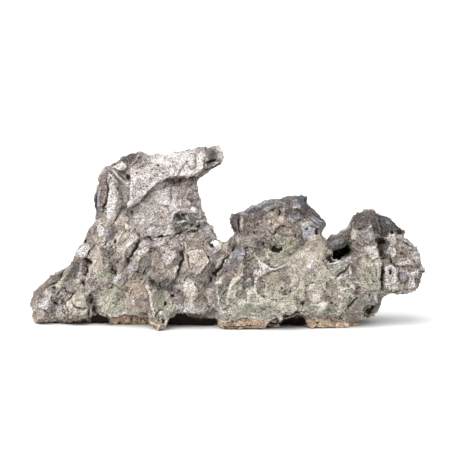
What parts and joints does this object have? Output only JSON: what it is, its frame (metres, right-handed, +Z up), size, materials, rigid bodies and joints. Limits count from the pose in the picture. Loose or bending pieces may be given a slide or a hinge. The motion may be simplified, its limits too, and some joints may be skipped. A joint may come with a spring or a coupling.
{
  "type": "scholars rock",
  "caption": "Natural landscape stone shaped like a mountain range: a beaked cliff, a roofed peak and a craggy far peak, on flat-bottomed feet.",
  "frame": {"origin": "middle of the stone's footprint box, level with its feet", "axes": "+X along the stone from its low toe to its far knob, -Y towards the viewer, +Z up"},
  "size_m": [0.4752, 0.1406, 0.2137],
  "materials": {
    "limestone": "matte"
  },
  "bodies": {
    "root": {"rock": "limestone"}
  },
  "joints": []
}
